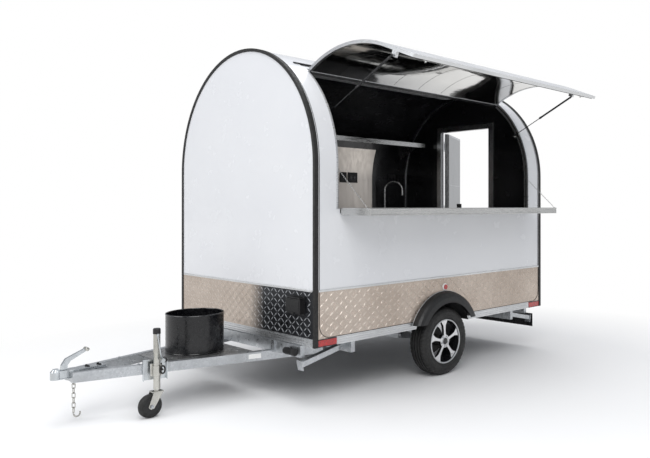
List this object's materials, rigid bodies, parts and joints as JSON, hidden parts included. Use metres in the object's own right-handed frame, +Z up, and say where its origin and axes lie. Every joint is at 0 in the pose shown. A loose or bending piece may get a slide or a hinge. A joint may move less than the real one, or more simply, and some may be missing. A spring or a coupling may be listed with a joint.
{
  "type": "concession trailer",
  "caption": "Round-roofed single-axle concession trailer with lifting side canopy, folding shelf, rear door, steady legs, jockey wheel and ball coupler.",
  "frame": {"origin": "on the ground under the middle of the whole trailer, door and canopy open", "axes": "+X forward towards the coupler, +Y towards the serving side (the trailer's left), +Z up"},
  "size_m": [5.1468, 2.8734, 2.8278],
  "materials": {
    "white_panel": "gloss",
    "black_paint": "satin",
    "galvanised": "galvanised",
    "stainless": "brushed",
    "mirror_steel": "polished",
    "aluminium_trim": "satin",
    "tread_plate": "tread plate",
    "black_rubber": "matt",
    "black_plastic": "matt",
    "tyre_rubber": "matt",
    "alloy_rim": "machined and black",
    "cast_hub": "cast",
    "red_lens": "gloss",
    "lamp_diffuser": "opal",
    "floor_board": "sealed plywood"
  },
  "bodies": {
    "trailer": {"axle": "galvanised", "bottom_rails": "aluminium_trim", "ceiling_lamp": "lamp_diffuser", "chassis_members": "galvanised", "chassis_rails": "galvanised", "corner_trims": "black_rubber", "coupler": "galvanised", "coupler_lever": "galvanised", "door_frame": "aluminium_trim", "drawbar_beams": "galvanised", "drawbar_plate": "tread_plate", "fenders": "black_plastic", "floor_panel": "floor_board", "front_wall": "white_panel", "gas_bottle_ring": "black_paint", "jockey_bracket": "galvanised", "jockey_crank": "galvanised", "jockey_tube": "galvanised", "lamps_and_reflectors": "red_lens", "left_wall": "white_panel", "opening_hardware": "stainless", "opening_pillars": "white_panel", "power_sockets": "black_plastic", "rear_board": "black_paint", "rear_wall": "white_panel", "right_wall": "white_panel", "roof": "white_panel", "safety_chain": "galvanised", "serving_counter": "stainless", "shelf_chains": "stainless", "sink_bench": "stainless", "sink_tap": "stainless", "skirt_plates": "tread_plate", "socket_plates": "black_plastic", "wall_shelf": "stainless", "wheel_boxes": "black_plastic"},
    "canopy": {"canopy_panel": "white_panel", "canopy_lining": "mirror_steel", "canopy_frame": "aluminium_trim"},
    "strut_cylinder_front": {"strut_cylinder_front": "black_paint"},
    "strut_cylinder_rear": {"strut_cylinder_rear": "black_paint"},
    "strut_rod_front": {"strut_rod_front": "stainless"},
    "strut_rod_rear": {"strut_rod_rear": "stainless"},
    "serving_shelf": {"serving_shelf": "stainless"},
    "rear_door": {"rear_door": "white_panel", "door_handles": "black_plastic"},
    "wheel_left": {"tyre_left": "tyre_rubber", "rim_left": "alloy_rim", "hub_left": "cast_hub"},
    "wheel_right": {"tyre_right": "tyre_rubber", "rim_right": "alloy_rim", "hub_right": "cast_hub"},
    "jockey_leg": {"jockey_leg": "galvanised"},
    "jockey_fork": {"jockey_fork": "galvanised"},
    "jockey_wheel": {"jockey_wheel": "black_rubber"},
    "steady_front_left": {"steady_front_left": "galvanised"},
    "steady_front_right": {"steady_front_right": "galvanised"},
    "steady_rear_left": {"steady_rear_left": "galvanised"},
    "steady_rear_right": {"steady_rear_right": "galvanised"}
  },
  "joints": [
    {"name": "canopy_hinge", "type": "hinge", "parent": "trailer", "child": "canopy", "pos_m": [-0.41599, 0.25177, 2.62668], "axis": [1, 0, 0], "range_deg": [-67.5, 0]},
    {"name": "strut_swing_front", "type": "hinge", "parent": "canopy", "child": "strut_cylinder_front", "pos_m": [0.82601, 1.19968, 2.59292], "axis": [1, 0, 0], "range_deg": [-39, 1]},
    {"name": "strut_stroke_front", "type": "slide", "parent": "strut_cylinder_front", "child": "strut_rod_front", "axis": [0, -0.8985, -0.4389], "range_m": [-0.2808, 0.002]},
    {"name": "strut_swing_rear", "type": "hinge", "parent": "canopy", "child": "strut_cylinder_rear", "pos_m": [-1.65799, 1.19968, 2.59292], "axis": [1, 0, 0], "range_deg": [-39, 1]},
    {"name": "strut_stroke_rear", "type": "slide", "parent": "strut_cylinder_rear", "child": "strut_rod_rear", "axis": [0, -0.8985, -0.4389], "range_m": [-0.2808, 0.002]},
    {"name": "shelf_hinge", "type": "hinge", "parent": "trailer", "child": "serving_shelf", "pos_m": [-0.41599, 0.65733, 1.491], "axis": [1, 0, 0], "range_deg": [0, 90], "deforming": ["shelf_chains"]},
    {"name": "door_hinge", "type": "hinge", "parent": "trailer", "child": "rear_door", "pos_m": [-1.92399, -0.71367, 1.457], "axis": [0, 0, 1], "range_deg": [-118, 47]},
    {"name": "wheel_spin_left", "type": "hinge", "parent": "trailer", "child": "wheel_left", "pos_m": [-0.36199, 0.58983, 0.3], "axis": [0, 1, 0], "continuous": true},
    {"name": "wheel_spin_right", "type": "hinge", "parent": "trailer", "child": "wheel_right", "pos_m": [-0.36199, -1.29517, 0.3], "axis": [0, 1, 0], "continuous": true},
    {"name": "jockey_lift", "type": "slide", "parent": "trailer", "child": "jockey_leg", "axis": [0, 0, 1], "range_m": [-0.15, 0]},
    {"name": "jockey_swivel", "type": "hinge", "parent": "jockey_leg", "child": "jockey_fork", "pos_m": [1.96401, -0.05141, 0.184], "axis": [0, 0, 1], "continuous": true},
    {"name": "jockey_spin", "type": "hinge", "parent": "jockey_fork", "child": "jockey_wheel", "pos_m": [2.01401, -0.05141, 0.084], "axis": [0, 1, 0], "continuous": true},
    {"name": "steady_hinge_front_left", "type": "hinge", "parent": "trailer", "child": "steady_front_left", "pos_m": [0.74401, 0.52733, 0.402], "axis": [0, 1, 0], "range_deg": [0, 58]},
    {"name": "steady_hinge_front_right", "type": "hinge", "parent": "trailer", "child": "steady_front_right", "pos_m": [0.74401, -1.23267, 0.402], "axis": [0, 1, 0], "range_deg": [0, 58]},
    {"name": "steady_hinge_rear_left", "type": "hinge", "parent": "trailer", "child": "steady_rear_left", "pos_m": [-1.48199, 0.52733, 0.402], "axis": [0, -1, 0], "range_deg": [0, 58]},
    {"name": "steady_hinge_rear_right", "type": "hinge", "parent": "trailer", "child": "steady_rear_right", "pos_m": [-1.48199, -1.23267, 0.402], "axis": [0, -1, 0], "range_deg": [0, 58]}
  ],
  "couplings": [
    {"joint": "strut_swing_front", "follows": "canopy_hinge", "ratio": 0.56016},
    {"joint": "strut_stroke_front", "follows": "canopy_hinge", "m_per_rad": 0.23492},
    {"joint": "strut_swing_rear", "follows": "canopy_hinge", "ratio": 0.56016},
    {"joint": "strut_stroke_rear", "follows": "canopy_hinge", "m_per_rad": 0.23492}
  ]
}
